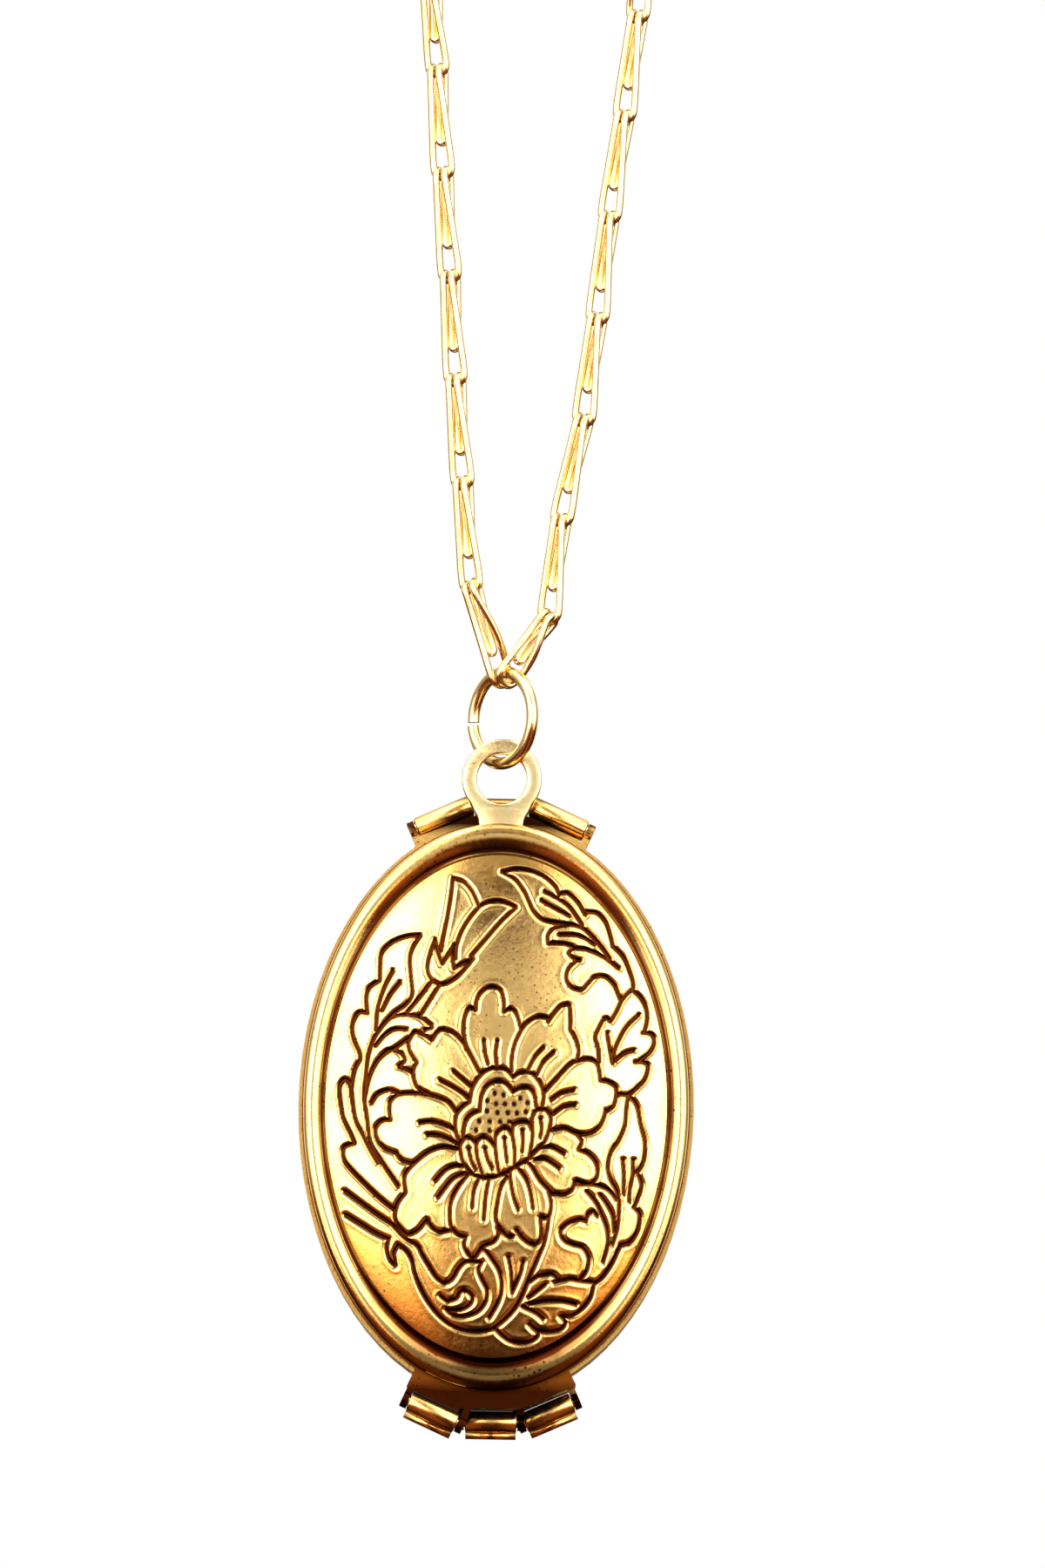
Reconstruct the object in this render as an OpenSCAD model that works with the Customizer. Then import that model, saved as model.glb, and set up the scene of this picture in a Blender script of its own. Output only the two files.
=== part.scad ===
// Oval folding picture locket on a jump ring and two strands of long-link chain.
// Six hinged leaves fold into one stack: the front leaf, four pages and the back leaf.
// Front is -Y, up is +Z, and the origin is where the jump ring bears on the chain.

/* [Locket] */
// Half the width of a page
page_a = 13.35; // [12:0.05:15]
// Half the height of a page
page_b = 19.5; // [18:0.05:22]
// Distance between the middles of two neighbouring leaves
pitch = 1.5; // [1.45:0.01:1.7]
// Thickness of a page
page_t = 1.26; // [1.1:0.01:1.3]
// How much smaller the front cover is than a page, all round
front_inset = 0.35; // [0.2:0.05:0.6]
// Height of the cover's dome above its frame
dome_h = 2.6; // [2:0.1:3.5]

/* [Photo wells] */
// Width of the rim around each photo well
well_rim = 1.5; // [1.2:0.1:2]
// Depth of each photo well
well_d = 0.36; // [0.3:0.02:0.4]
// Thickness of a photo card
card_t = 0.2; // [0.15:0.05:0.25]

/* [Hinges] */
// Diameter of a hinge pin
pin_d = 0.68; // [0.6:0.02:0.7]
// Outside diameter of a rolled hinge barrel
barrel_d = 1.34; // [1.3:0.01:1.36]
// Length of the three lower barrels
low_barrel = 3.5; // [3:0.1:3.6]
// Length of the two upper barrels
high_barrel = 4; // [3.6:0.1:4.2]
// Slope of the outer hinges from level, in degrees
slope = 24; // [22:1:25]
// Thickness of the ears that hold a pin
ear_t = 0.45; // [0.4:0.05:0.5]

/* [Hanging] */
// Middle radius of the jump ring
ring_r = 3.08; // [2.9:0.02:3.3]
// Wire diameter of the jump ring
ring_wire = 0.84; // [0.8:0.02:0.86]
// Turn of the jump ring about the vertical, in degrees
ring_turn = 50; // [48:1:52]
// Outside radius of the bail's eye
bail_r = 2.7; // [2.5:0.05:2.9]
// Radius of the bail's hole
bail_hole = 1.68; // [1.6:0.02:1.8]
// Thickness of the bail
bail_t = 0.6; // [0.5:0.05:0.65]

/* [Chain] */
// Wire diameter of a chain link
link_wire = 0.46; // [0.4:0.02:0.5]
// Radius of the middle of the wire at a link's ends
link_bow = 0.74; // [0.72:0.01:0.8]
// Radius of the free eye at the top of each strand
eye_r = 1.25; // [1.1:0.05:1.4]
// Thickness of the tag that holds the eye
tag_t = 0.8; // [0.7:0.05:0.9]

/* [Hidden] */
$fn = 48;
OVAL_N = 72;

hang_gap = 0.2;                  // play between the jump ring and what hangs on it
frame_t = 0.6;                   // thickness of the front and back frames
run = 0.03;                      // running clearance of a barrel on its pin
end_play = 0.06;                 // play between a barrel and the ear beside it
ear_r = 0.56;
neck_t = 0.6;                    // thickness of the neck that joins an ear to its leaf
bail_up = 22.2;                  // from the middle of the locket to the middle of the eye
eye_z = -2 * ring_r + ring_wire / 2 + hang_gap - bail_hole;
mid_z = eye_z - bail_up;         // middle of the locket
last = 5;                        // number of the back leaf

// One hinge: x and z of its middle from the locket's middle, turn about Y, barrel length
HINGES = [[-3.9, -20.6, 180 + slope, low_barrel],
          [3.9, 19.7, slope, high_barrel],
          [0, -21.1, 180, low_barrel],
          [-3.9, 19.9, -slope, high_barrel],
          [3.9, -20.3, 180 - slope, low_barrel]];

// Joints between the links, [x, z], from the jump ring upwards
LEFT_ROUTE = [[-0.1, 0], [-2.3, 5.8], [-3, 12.8], [-3.6, 19.8], [-4.1, 26.8], [-4.7, 33.8],
              [-5.2, 40.8], [-5.8, 47.8]];
RIGHT_ROUTE = [[0.1, 0], [3, 3.8], [3.7, 10.4], [5.1, 17.2], [5.9, 24.1], [6.6, 31], [7.5, 37.9],
               [8.3, 44.7], [8.9, 51]];

GOLD = [0.83, 0.63, 0.27];
PALE_GOLD = [0.9, 0.74, 0.42];
DARK_GOLD = [0.6, 0.42, 0.14];
CARD = [0.93, 0.9, 0.82];

function depth(leaf) = leaf * pitch;
function oval(a, b) = [for (i = [0:OVAL_N - 1]) [a * cos(i * 360 / OVAL_N), b * sin(i * 360 / OVAL_N)]];

// Places its children with the first axis along the hinge and +Z away from the locket
module at_hinge(k, y) {
    h = HINGES[k - 1];
    translate([h[0], y, mid_z + h[1]]) rotate([0, h[2], 0]) children();
}

module rod(r, length) {
    rotate([0, 90, 0]) cylinder(r = r, h = length, center = true);
}

// An upright oval plate whose middle lies at depth y
module plate(a, b, y, t) {
    translate([0, y + t / 2, mid_z]) rotate([90, 0, 0]) linear_extrude(t) polygon(oval(a, b));
}

// The two ears of a leaf at hinge k
module ears(k, y) {
    reach = HINGES[k - 1][3] / 2 + end_play + ear_t / 2;
    root = k == 2 || k == 4 ? 2.2 : 3.4;
    at_hinge(k, y) for (side = [-1, 1]) translate([side * reach, 0, 0]) difference() {
        union() {
            rod(ear_r, ear_t);
            translate([-ear_t / 2, -neck_t / 2, -root]) cube([ear_t, neck_t, root]);
        }
        rod(pin_d / 2, 2 * ear_t);
    }
}

// The aprons of a leaf: its edge reaches down to the three lower hinges and up to the two upper ones
module apron(y, t, upper) {
    translate([0, y + t / 2, mid_z]) rotate([90, 0, 0]) linear_extrude(t) {
        polygon([[-4.6, -16.5], [4.6, -16.5], [5.7, -18.6], [5.2, -18.9], [2, -20.32], [-2, -20.32],
                 [-2.2, -20.52], [-5.2, -19.2], [-5.7, -18.9]]);
        if (upper) polygon([[6, 16.5], [5.7, 18.05], [1.8, 19.75], [-1.8, 19.75], [-5.7, 18.25], [-6, 16.5]]);
    }
}

// Holes for the barrel of hinge k, so that a leaf's edge stays clear of it
module barrel_room(k, y) {
    at_hinge(k, y) rod(barrel_d / 2 + 0.08, HINGES[k - 1][3] + 2 * end_play);
}

module hinge_pin(k, y) {
    color(PALE_GOLD) at_hinge(k, y) rod(pin_d / 2, HINGES[k - 1][3] + 2 * (end_play + ear_t));
}

// Two rolled barrels side by side, joined by a web along their outer sides
module hinge_link(k) {
    length = HINGES[k - 1][3];
    wall = barrel_d / 2 - pin_d / 2 - run;
    color(GOLD) at_hinge(k, depth(k - 1)) difference() {
        union() {
            rod(barrel_d / 2, length);
            translate([0, pitch, 0]) rod(barrel_d / 2, length);
            translate([-length / 2, 0, barrel_d / 2 - wall]) cube([length, pitch, wall]);
        }
        rod(pin_d / 2 + run, 2 * length);
        translate([0, pitch, 0]) rod(pin_d / 2 + run, 2 * length);
    }
}

// A page with a photo well on both faces, and ears for the links on either side of it
module page(leaf) {
    y = depth(leaf);
    color(GOLD) difference() {
        union() {
            plate(page_a, page_b, y, page_t);
            apron(y, page_t, true);
            ears(leaf, y);
            ears(leaf + 1, y);
        }
        for (side = [-1, 1])
            plate(page_a - well_rim, page_b - well_rim, y + side * page_t / 2, 2 * well_d);
        barrel_room(leaf, y);
        barrel_room(leaf + 1, y);
    }
}

module photo_card(y) {
    color(CARD) plate(page_a - well_rim - 0.1, page_b - well_rim - 0.1, y, card_t);
}

module photo_cards(leaf) {
    for (side = [-1, 1])
        photo_card(depth(leaf) + side * (page_t / 2 - well_d + card_t / 2));
}

// A domed shell with its open side at y; face is -1 towards the front and 1 towards the back.
// Each pair is a share of the oval's size and a height above the open side.
module dome(a, b, y, face) {
    shell = [[0.955, 0], [1, 0], [1, 0.7], [0.988, 0.98], [0.962, 1.12], [0.93, 1.1], [0.905, 0.94],
             [0.885, 1.16], [0.7, dome_h * 0.68], [0.45, dome_h * 0.9], [0.22, dome_h],
             [0.22, dome_h - 0.45], [0.5, dome_h * 0.82 - 0.45], [0.86, 0.66], [0.94, 0.5]];
    n = len(shell);
    points = [for (i = [0:OVAL_N - 1]) for (p = shell)
        [p[0] * a * cos(i * 360 / OVAL_N), y + face * p[1], mid_z + p[0] * b * sin(i * 360 / OVAL_N)]];
    sides = [for (i = [0:OVAL_N - 1]) for (j = [0:n - 1]) if (j != 10)
        let (m = (i + 1) % OVAL_N, k = (j + 1) % n)
        [i * n + j, m * n + j, m * n + k, i * n + k]];
    outer_cap = [for (i = [0:OVAL_N - 1]) i * n + 10];
    inner_cap = [for (i = [OVAL_N - 1:-1:0]) i * n + 11];
    faces = concat(sides, [outer_cap, inner_cap]);
    polyhedron(points, face < 0 ? faces : [for (f = faces) [for (i = [len(f) - 1:-1:0]) f[i]]]);
}

module front_cover() {
    color(GOLD) dome(page_a - front_inset, page_b - front_inset, -frame_t / 2, -1);
}

// The plate behind the front cover, with the apron that reaches down to the lower hinges
module front_frame() {
    color(DARK_GOLD) difference() {
        union() {
            plate(page_a - front_inset + 0.1, page_b - front_inset + 0.1, 0, frame_t);
            apron(0, frame_t, false);
            ears(1, 0);
        }
        plate(page_a - well_rim, page_b - well_rim, frame_t / 2, 2 * well_d);
        barrel_room(1, 0);
        translate([-1.5, -1, mid_z + 18.4]) cube([3, 2, 3]);
    }
}

// A flat ring on a neck that fills the notch at the top of the front frame
module bail() {
    color(PALE_GOLD) difference() {
        union() {
            translate([0, 0, eye_z]) rotate([90, 0, 0]) cylinder(r = bail_r, h = bail_t, center = true);
            translate([-1.5, -bail_t / 2, mid_z + 18.4]) cube([3, bail_t, 2]);
        }
        translate([0, 0, eye_z]) rotate([90, 0, 0]) cylinder(r = bail_hole, h = 2, center = true);
    }
}

module back_frame() {
    y = depth(last);
    color(DARK_GOLD) difference() {
        union() {
            plate(page_a, page_b, y, frame_t);
            apron(y, frame_t, true);
            ears(last, y);
            // A lip rolled from the top edge, where a fingernail opens the locket
            translate([0, y, mid_z + 20.9]) rod(0.5, 3.6);
            translate([-1.8, y - frame_t / 2, mid_z + 19]) cube([3.6, frame_t, 1.9]);
        }
        plate(page_a - well_rim, page_b - well_rim, y - frame_t / 2, 2 * well_d);
        barrel_room(last, y);
    }
}

module back_cover() {
    color(GOLD) dome(page_a - 0.1, page_b - 0.1, depth(last) + frame_t / 2, 1);
}

// A split ring of round wire, cut on the left of its rim
module jump_ring() {
    color(PALE_GOLD) translate([0, 0, -ring_r]) rotate([0, 0, -ring_turn]) rotate([90, 0, 0])
        rotate([0, 0, 188]) rotate_extrude(angle = 355, $fn = 64)
        translate([ring_r, 0]) circle(r = ring_wire / 2, $fn = 24);
}

// A long link that joins two points of a strand, turned about its own length
module chain_link(from, to, turn, bow) {
    dx = to[0] - from[0];
    dz = to[1] - from[1];
    play = link_wire / 2 + 0.03;
    straight = sqrt(dx * dx + dz * dz) + 2 * play - 2 * bow;
    translate([from[0], 0, from[1]]) rotate([0, atan2(dx, dz), 0]) rotate([0, 0, turn])
    translate([0, 0, bow - play]) {
        for (side = [-1, 1])
            translate([side * bow, 0, 0]) cylinder(r = link_wire / 2, h = straight, $fn = 24);
        for (end = [0, 1])
            translate([0, 0, end * straight]) rotate([90, 0, 0]) rotate([0, 0, end ? 0 : 180])
                rotate_extrude(angle = 180, $fn = 32) translate([bow, 0]) circle(r = link_wire / 2, $fn = 24);
    }
}

// The links of one strand; the first hangs round the jump ring's wire
module strand(route, shift) {
    color(PALE_GOLD) {
        first = [route[0][0], route[0][1] - ring_wire / 2 - 0.15];
        translate([0, shift, 0]) chain_link(first, route[1], 90 - ring_turn + (shift > 0 ? 0 : -5), link_bow + 0.06);
        for (i = [1:len(route) - 2])
            chain_link(route[i], route[i + 1], i % 2 ? -30 : 60, link_bow);
    }
}

module chain_left() { strand(LEFT_ROUTE, 0.35); }
module chain_right() { strand(RIGHT_ROUTE, -0.45); }

// A flat tag with a small hole for the last link and a free eye above it
module end_tag(route) {
    top = route[len(route) - 1];
    small = 0.62;
    rise = 2.9;
    turn = (len(route) - 2) % 2 ? -30 : 60;
    color(PALE_GOLD) translate([top[0], 0, top[1]]) rotate([0, 0, turn + 90])
    translate([0, 0, small - 0.06]) rotate([90, 0, 0]) difference() {
        union() {
            cylinder(r = small + 0.45, h = tag_t, center = true);
            translate([-small - 0.45, 0, -tag_t / 2]) cube([2 * small + 0.9, rise, tag_t]);
            translate([0, rise, 0]) cylinder(r = eye_r + 0.65, h = tag_t, center = true);
        }
        cylinder(r = small, h = 2, center = true);
        translate([0, rise, 0]) cylinder(r = eye_r, h = 2, center = true);
    }
}

module end_tag_left() { end_tag(LEFT_ROUTE); }
module end_tag_right() { end_tag(RIGHT_ROUTE); }

front_cover();
front_frame();
bail();
for (i = [1:4]) page(i);
back_frame();
back_cover();
photo_card(frame_t / 2 - well_d + card_t / 2);  // photo_card_front
for (i = [1:4]) photo_cards(i);
photo_card(depth(last) - frame_t / 2 + well_d - card_t / 2);  // photo_card_back
for (k = [1:5]) {
    hinge_link(k);
    hinge_pin(k, depth(k - 1));
    hinge_pin(k, depth(k));
}
jump_ring();
chain_left();
chain_right();
end_tag_left();
end_tag_right();
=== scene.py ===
import math

import bmesh
import bpy
import numpy as np
from mathutils import Matrix, Vector


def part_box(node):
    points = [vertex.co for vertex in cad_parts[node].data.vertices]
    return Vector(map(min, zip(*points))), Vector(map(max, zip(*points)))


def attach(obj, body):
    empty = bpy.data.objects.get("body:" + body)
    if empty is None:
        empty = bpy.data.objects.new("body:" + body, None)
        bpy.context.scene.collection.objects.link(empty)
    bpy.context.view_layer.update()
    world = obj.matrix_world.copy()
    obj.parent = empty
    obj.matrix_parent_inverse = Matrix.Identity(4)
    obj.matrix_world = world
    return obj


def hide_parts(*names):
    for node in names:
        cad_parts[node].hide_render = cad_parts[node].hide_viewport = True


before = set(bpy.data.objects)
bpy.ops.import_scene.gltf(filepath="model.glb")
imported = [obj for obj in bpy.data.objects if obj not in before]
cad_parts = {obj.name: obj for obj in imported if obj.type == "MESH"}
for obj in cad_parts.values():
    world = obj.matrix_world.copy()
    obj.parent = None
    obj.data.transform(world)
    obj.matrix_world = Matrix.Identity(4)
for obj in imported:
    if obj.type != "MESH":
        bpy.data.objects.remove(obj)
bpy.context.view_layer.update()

# The camera ------------------------------------------------------------------------------------
# A long lens a little below the locket, looking up at its engraved front, with a slight roll. The
# two strands of the chain run out of the top of its view.
MM = 0.001
cover_low, cover_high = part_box("front_cover")
MIDDLE = (cover_low + cover_high) / 2
CAMERA_RISE = math.radians(-4)
CAMERA_ROLL = math.radians(1)
CAMERA_REACH = 1.2
SENSOR = 36
VIEW_HEIGHT = 105.9 * MM
AIM = Vector((1.4 * MM, 0, MIDDLE.z + 21.9 * MM))

camera = bpy.data.objects.new("camera", bpy.data.cameras.new("camera"))
bpy.context.scene.collection.objects.link(camera)
back = Vector((0, -math.cos(CAMERA_RISE), math.sin(CAMERA_RISE)))
camera.location = AIM + back * CAMERA_REACH
level = (-back).to_track_quat("-Z", "Y").to_matrix().to_4x4()
camera.rotation_euler = (level @ Matrix.Rotation(CAMERA_ROLL, 4, "Z")).to_euler()
camera.data.sensor_width = SENSOR
camera.data.lens = SENSOR * CAMERA_REACH / VIEW_HEIGHT
camera.data.clip_start = 0.05
camera.data.clip_end = 20
bpy.context.scene.camera = camera

# The covers ------------------------------------------------------------------------------------
# Each cover is stamped from one sheet of brass: an upright wall, a rolled shoulder, a groove and a
# dome. The front one is engraved with a flower among leaves. Both are gold plated, darkened with
# patina and polished again, so that brown is left only in the cuts and the groove. The front rim also
# has shade painted on it in brown, darker towards its bottom.
COVER_A = (cover_high.x - cover_low.x) / 2
COVER_B = (cover_high.z - cover_low.z) / 2
COVER_Y = cover_high.y
DOME_HEIGHT = cover_high.y - cover_low.y
FIELD = 0.885
SHOULDER = 1.16 * MM
RIM_STEPS = 240
FIELD_GRID = (260, 370)

# The wall, shoulder and groove from the open side inwards: the share of the oval's size, the height
# in mm, and how much patina is left.
RIM = [(0.955, 0, 0.2), (0.994, 0, 0.2), (1, 0.06, 0.1), (1, 0.6, 0), (0.997, 0.82, 0), (0.988, 0.98, 0),
       (0.976, 1.08, 0), (0.96, 1.12, 0), (0.944, 1.1, 0), (0.93, 1.02, 0.05), (0.919, 0.9, 0.5),
       (0.91, 0.82, 1), (0.9, 0.84, 1), (0.892, 0.98, 0.6), (FIELD, SHOULDER / MM, 0)]
# Shade is painted in brown low on the front rim: where it starts, how far it takes, and its strength.
LOW_START, LOW_REACH, LOW_SHADE = 0.66, 0.26, 0.72
# The smooth back dome is drawn as rings at these shares of the oval's size.
DOME_RINGS = (0.86, 0.82, 0.76, 0.68, 0.58, 0.46, 0.34, 0.22, 0.1, 0)


def linear(hex_colour):
    """An sRGB hex colour as a linear one."""
    parts = [int(hex_colour[i : i + 2], 16) / 255 for i in (1, 3, 5)]
    return tuple(c / 12.92 if c <= 0.04045 else ((c + 0.055) / 1.055) ** 2.4 for c in parts) + (1,)


def node(tree, kind, settings=None, links=None, stops=()):
    """Adds a node. Sockets go by name or number, and stops are those of a colour ramp."""
    made = tree.nodes.new(kind)
    for name, value in (settings or {}).items():
        if isinstance(name, int) or name in made.inputs:
            made.inputs[name].default_value = value
        else:
            setattr(made, name, value)
    for name, source in (links or {}).items():
        tree.links.new(source, made.inputs[name])
    if stops:
        bar = made.color_ramp.elements
        while len(bar) < len(stops):
            bar.new(0.5)
        for element, (place, value) in zip(bar, stops):
            element.position = place
            element.color = (value, value, value, 1) if isinstance(value, float) else linear(value)
    return made


def gold(name, body, dark, gloss, patina_and_shade=None, shaded_ends=False, grain=0.3, grain_height=0.01):
    """Gold plate over brass. Gloss is its lowest and highest roughness, and grain is in mm.

    The named attribute turns it brown: patina in hollows, and painted shade where a mesh holds it.
    A plate with shaded ends has shade painted on as brown towards its top and bottom ends.
    """
    material = bpy.data.materials.new(name)
    material.use_nodes = True
    tree = material.node_tree
    shader = tree.nodes["Principled BSDF"]
    shader.inputs["Metallic"].default_value = 1
    place = node(tree, "ShaderNodeTexCoord").outputs["Object"]

    # Fine grain from the stamping, in clouds 3.5 mm wide where the cloth has rubbed more or less.
    fine = {"Scale": 1 / (grain * MM), "Detail": 4.0, "Roughness": 0.65}
    grit = node(tree, "ShaderNodeTexNoise", fine, {"Vector": place}).outputs["Fac"]
    broad = {"Scale": 1 / (3.5 * MM), "Detail": 3.0}
    cloud = node(tree, "ShaderNodeTexNoise", broad, {"Vector": place}).outputs["Fac"]
    wear = node(tree, "ShaderNodeMath", {"operation": "MULTIPLY"}, {0: grit, 1: cloud}).outputs["Value"]
    reach = {"From Min": 0.12, "From Max": 0.42, "To Min": gloss[0], "To Max": gloss[1]}
    rough = node(tree, "ShaderNodeMapRange", reach, {"Value": wear}).outputs["Result"]
    tree.links.new(rough, shader.inputs["Roughness"])

    # Tarnish: faint brown clouds, with specks about 0.4 mm apart where the clouds are darkest.
    cells = node(tree, "ShaderNodeTexVoronoi", {"Scale": 1 / (0.42 * MM)}, {"Vector": place})
    apart = cells.outputs["Distance"]
    specks = node(tree, "ShaderNodeValToRGB", None, {"Fac": apart}, [(0.1, 0.6), (0.24, 0.0)])
    mottle = node(tree, "ShaderNodeValToRGB", None, {"Fac": cloud}, [(0.42, 0.0), (0.8, 0.25)])
    where = node(tree, "ShaderNodeValToRGB", None, {"Fac": cloud}, [(0.44, 0.0), (0.56, 1.0)])
    both = {0: specks.outputs["Color"], 1: where.outputs["Color"]}
    spotted = node(tree, "ShaderNodeMath", {"operation": "MULTIPLY"}, both).outputs["Value"]
    added = {"operation": "ADD", "use_clamp": True}
    brown = node(tree, "ShaderNodeMath", added, {0: spotted, 1: mottle.outputs["Color"]}).outputs["Value"]
    # The attribute's brown is patina in the cuts and groove, and painted shade low on the front rim.
    if patina_and_shade:
        hollows = node(tree, "ShaderNodeAttribute", {"attribute_name": patina_and_shade}).outputs["Fac"]
        brown = node(tree, "ShaderNodeMath", added, {0: brown, 1: hollows}).outputs["Value"]
    # Painted shade: brown at the top and bottom ends, round the hinges, where the plate lies in shade.
    if shaded_ends:
        centred = node(tree, "ShaderNodeMapping", {"Location": (0, 0, -MIDDLE.z)}, {"Vector": place})
        split = node(tree, "ShaderNodeSeparateXYZ", None, {"Vector": centred.outputs["Vector"]})
        up = node(tree, "ShaderNodeMath", {"operation": "ABSOLUTE"}, {0: split.outputs["Z"]}).outputs["Value"]
        ends = node(tree, "ShaderNodeMapRange", {"From Min": 18.3 * MM, "From Max": 19.2 * MM}, {"Value": up})
        brown = node(tree, "ShaderNodeMath", added, {0: brown, 1: ends.outputs["Result"]}).outputs["Value"]

    # The colour sockets of a Mix node are numbers 6 and 7, and its colour comes out at number 2.
    tint = {"data_type": "RGBA", 6: linear(body), 7: linear(dark)}
    mixed = node(tree, "ShaderNodeMix", tint, {0: brown}).outputs[2]
    tree.links.new(mixed, shader.inputs["Base Color"])
    bump = node(tree, "ShaderNodeBump", {"Strength": 0.65, "Distance": grain_height * MM}, {"Height": grit})
    tree.links.new(bump.outputs["Normal"], shader.inputs["Normal"])
    return material


def piece(name, shape):
    """A mesh object at the origin, made from a bmesh, smooth and with its faces outwards."""
    bmesh.ops.remove_doubles(shape, verts=shape.verts, dist=1e-6)
    bmesh.ops.recalc_face_normals(shape, faces=shape.faces)
    for face in shape.faces:
        face.smooth = True
    mesh = bpy.data.meshes.new(name)
    shape.to_mesh(mesh)
    shape.free()
    made = bpy.data.objects.new(name, mesh)
    bpy.context.scene.collection.objects.link(made)
    return made


def finish_piece(made, material, body, replaced=()):
    """Gives a piece its material, and says what it rides on and what it stands for."""
    made.data.materials.clear()
    made.data.materials.append(material)
    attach(made, body)
    if replaced:
        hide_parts(*replaced)


def dome_rise(share):
    """Height of the dome above the cover's open side, at a share of the oval's size."""
    inside = np.clip(1 - (share / FIELD) ** 2, 0, 1)
    return SHOULDER + (DOME_HEIGHT - SHOULDER) * inside**0.9


def cover_ring(name, a, b, y, face, dome=(), low_shade=0):
    """The wall, rolled shoulder and groove of a cover, drawn round its oval ring by ring."""
    shape = bmesh.new()
    patina_and_shade = shape.verts.layers.float.new("patina_and_shade")
    rings = []
    for share, rise, dark in [*RIM, *dome]:
        if share == 0:
            tip = shape.verts.new((0, y + face * rise * MM, MIDDLE.z))
            tip[patina_and_shade] = dark
            rings.append([tip] * RIM_STEPS)
            continue
        ring = bmesh.ops.create_circle(shape, segments=RIM_STEPS, radius=1)["verts"]
        for v in ring:
            # Painted shade: brown added to the patina, darker towards the bottom of the rim.
            low = min(1, max(0, (-v.co.y - LOW_START) / LOW_REACH))
            v[patina_and_shade] = min(1, dark + low_shade * low)
            v.co = (v.co.x * share * a, y + face * rise * MM, MIDDLE.z + v.co.y * share * b)
        rings.append(ring)
    for one, two in zip(rings, rings[1:]):
        for i in range(RIM_STEPS):
            j = (i + 1) % RIM_STEPS
            corners = [one[i], one[j], two[j], two[i]]
            shape.faces.new(list(dict.fromkeys(corners)))
    return piece(name, shape)


# The engraving, in mm from the middle of the cover: x to the right and z up. Each line runs smoothly
# through its points, and stops at a corner of the drawing.
BELL_FLOWER = [
    [(-3.2, 15.3), (-3.3, 14.2), (-3.5, 12.8), (-3.8, 11.2), (-3.9, 10.4)],
    [(-3.2, 15.3), (-2.5, 15.1), (-1.9, 14.5), (-1.5, 13.7), (-1.4, 13.4)],
    [(-1.4, 13.4), (-0.8, 13.7), (0, 13.8), (0.7, 13.6), (1.1, 13.4)],
    [(1.1, 13.4), (0, 12.3), (-1, 11.1), (-1.9, 10)],
    [(-1.4, 13.4), (-2.1, 12.5), (-2.6, 11.6), (-2.9, 10.6), (-2.9, 9.9)],
    [(-4.3, 11.1), (-4.6, 10.3), (-4.8, 9.3), (-4.6, 8.6), (-4.1, 8.15), (-3.6, 8.1), (-2.8, 8.6),
     (-2.1, 9.4), (-1.7, 9.9)],
    [(-4.3, 11.1), (-4.1, 10.3), (-3.8, 9.5)],
    [(-3.8, 9.5), (-3.3, 10.3), (-3, 10.8)],
    [(-3, 10.8), (-3.1, 10), (-3, 9.2)],
    [(-3, 9.2), (-2.3, 9.6), (-1.7, 9.9)],
    [(-4.5, 8.3), (-5.2, 7.3), (-6.1, 6.2)],
    [(-4, 8), (-4.6, 7), (-5.2, 6)],
]
LEFT_LEAVES = [
    [(-5.3, 11.4), (-6.2, 11.3), (-7.2, 10.9), (-7.9, 10.2), (-8, 9.4), (-8, 8.3)],
    [(-8, 8.3), (-8.7, 7.8), (-8.9, 7.1), (-8.8, 6.1)],
    [(-8.8, 6.1), (-9.4, 6.1), (-9.8, 5.3), (-9.7, 4.4), (-9.3, 3.5), (-9.2, 3)],
    [(-9.2, 3), (-9.6, 2.2), (-9.8, 1)],
    [(-5.3, 11.4), (-5.8, 10.6), (-6, 9.8), (-5.9, 8.6), (-5.8, 7.4), (-6.2, 6.7), (-7, 6.1),
     (-7.8, 5.2)],
    [(-7.1, 9), (-7.7, 7.8), (-8.1, 6.4), (-8.2, 5)],
    [(-6.6, 8.2), (-7.3, 7.3), (-7.8, 6.3)],
    [(-7.8, 5.2), (-7.2, 5.8), (-6.3, 6), (-5.3, 5.9), (-4.7, 5.5), (-4.4, 5.2), (-4.9, 5)],
    [(-6.1, 5), (-6.9, 5), (-7.6, 4.6), (-8.2, 3.9)],
    [(-7.8, 5.2), (-8.3, 4.4), (-8.7, 3.2), (-8.8, 2), (-8.9, 0.5), (-8.7, -1), (-8.4, -2.6),
     (-7.6, -4), (-6.5, -5.6)],
    [(-6, 4.4), (-6.8, 3.8), (-7.5, 3.4), (-8.1, 2.8), (-8.6, 1.7), (-8.9, 0.3)],
    [(-7.8, 3.2), (-7.3, 3.6), (-6.6, 3.5), (-6.2, 3), (-6.6, 2.5)],
    [(-6.6, 2.5), (-6, 2.3), (-5.6, 2)],
    [(-8.4, 0), (-8, 0.6), (-7.2, 0.9), (-6.6, 0.7)],
    [(-10.5, 0), (-10.6, 1), (-10.3, 1.6), (-10, 1.5), (-9.8, 1)],
    [(-10.5, 0), (-10.3, -1), (-9.8, -2), (-9.5, -2.7)],
    [(-9.5, -2.7), (-10.2, -3), (-10.2, -3.8), (-9.6, -4.6), (-8.6, -5.6), (-7.6, -6.5),
     (-6.8, -7.1)],
    [(-9.8, 0.9), (-9.5, -1), (-9, -2), (-8.5, -3), (-7.9, -4)],
    [(-10.1, -5.9), (-9, -6.7), (-8, -7.4), (-6.9, -8.1)],
    [(-10, -7.5), (-9, -8.1), (-8, -8.7), (-7.1, -9.1)],
    [(-7.1, -9.1), (-7.2, -9.8), (-7, -10.5), (-6.6, -10.9)],
    [(-6.6, -10.9), (-6.7, -10.1), (-6.4, -9.5)],
]
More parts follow.
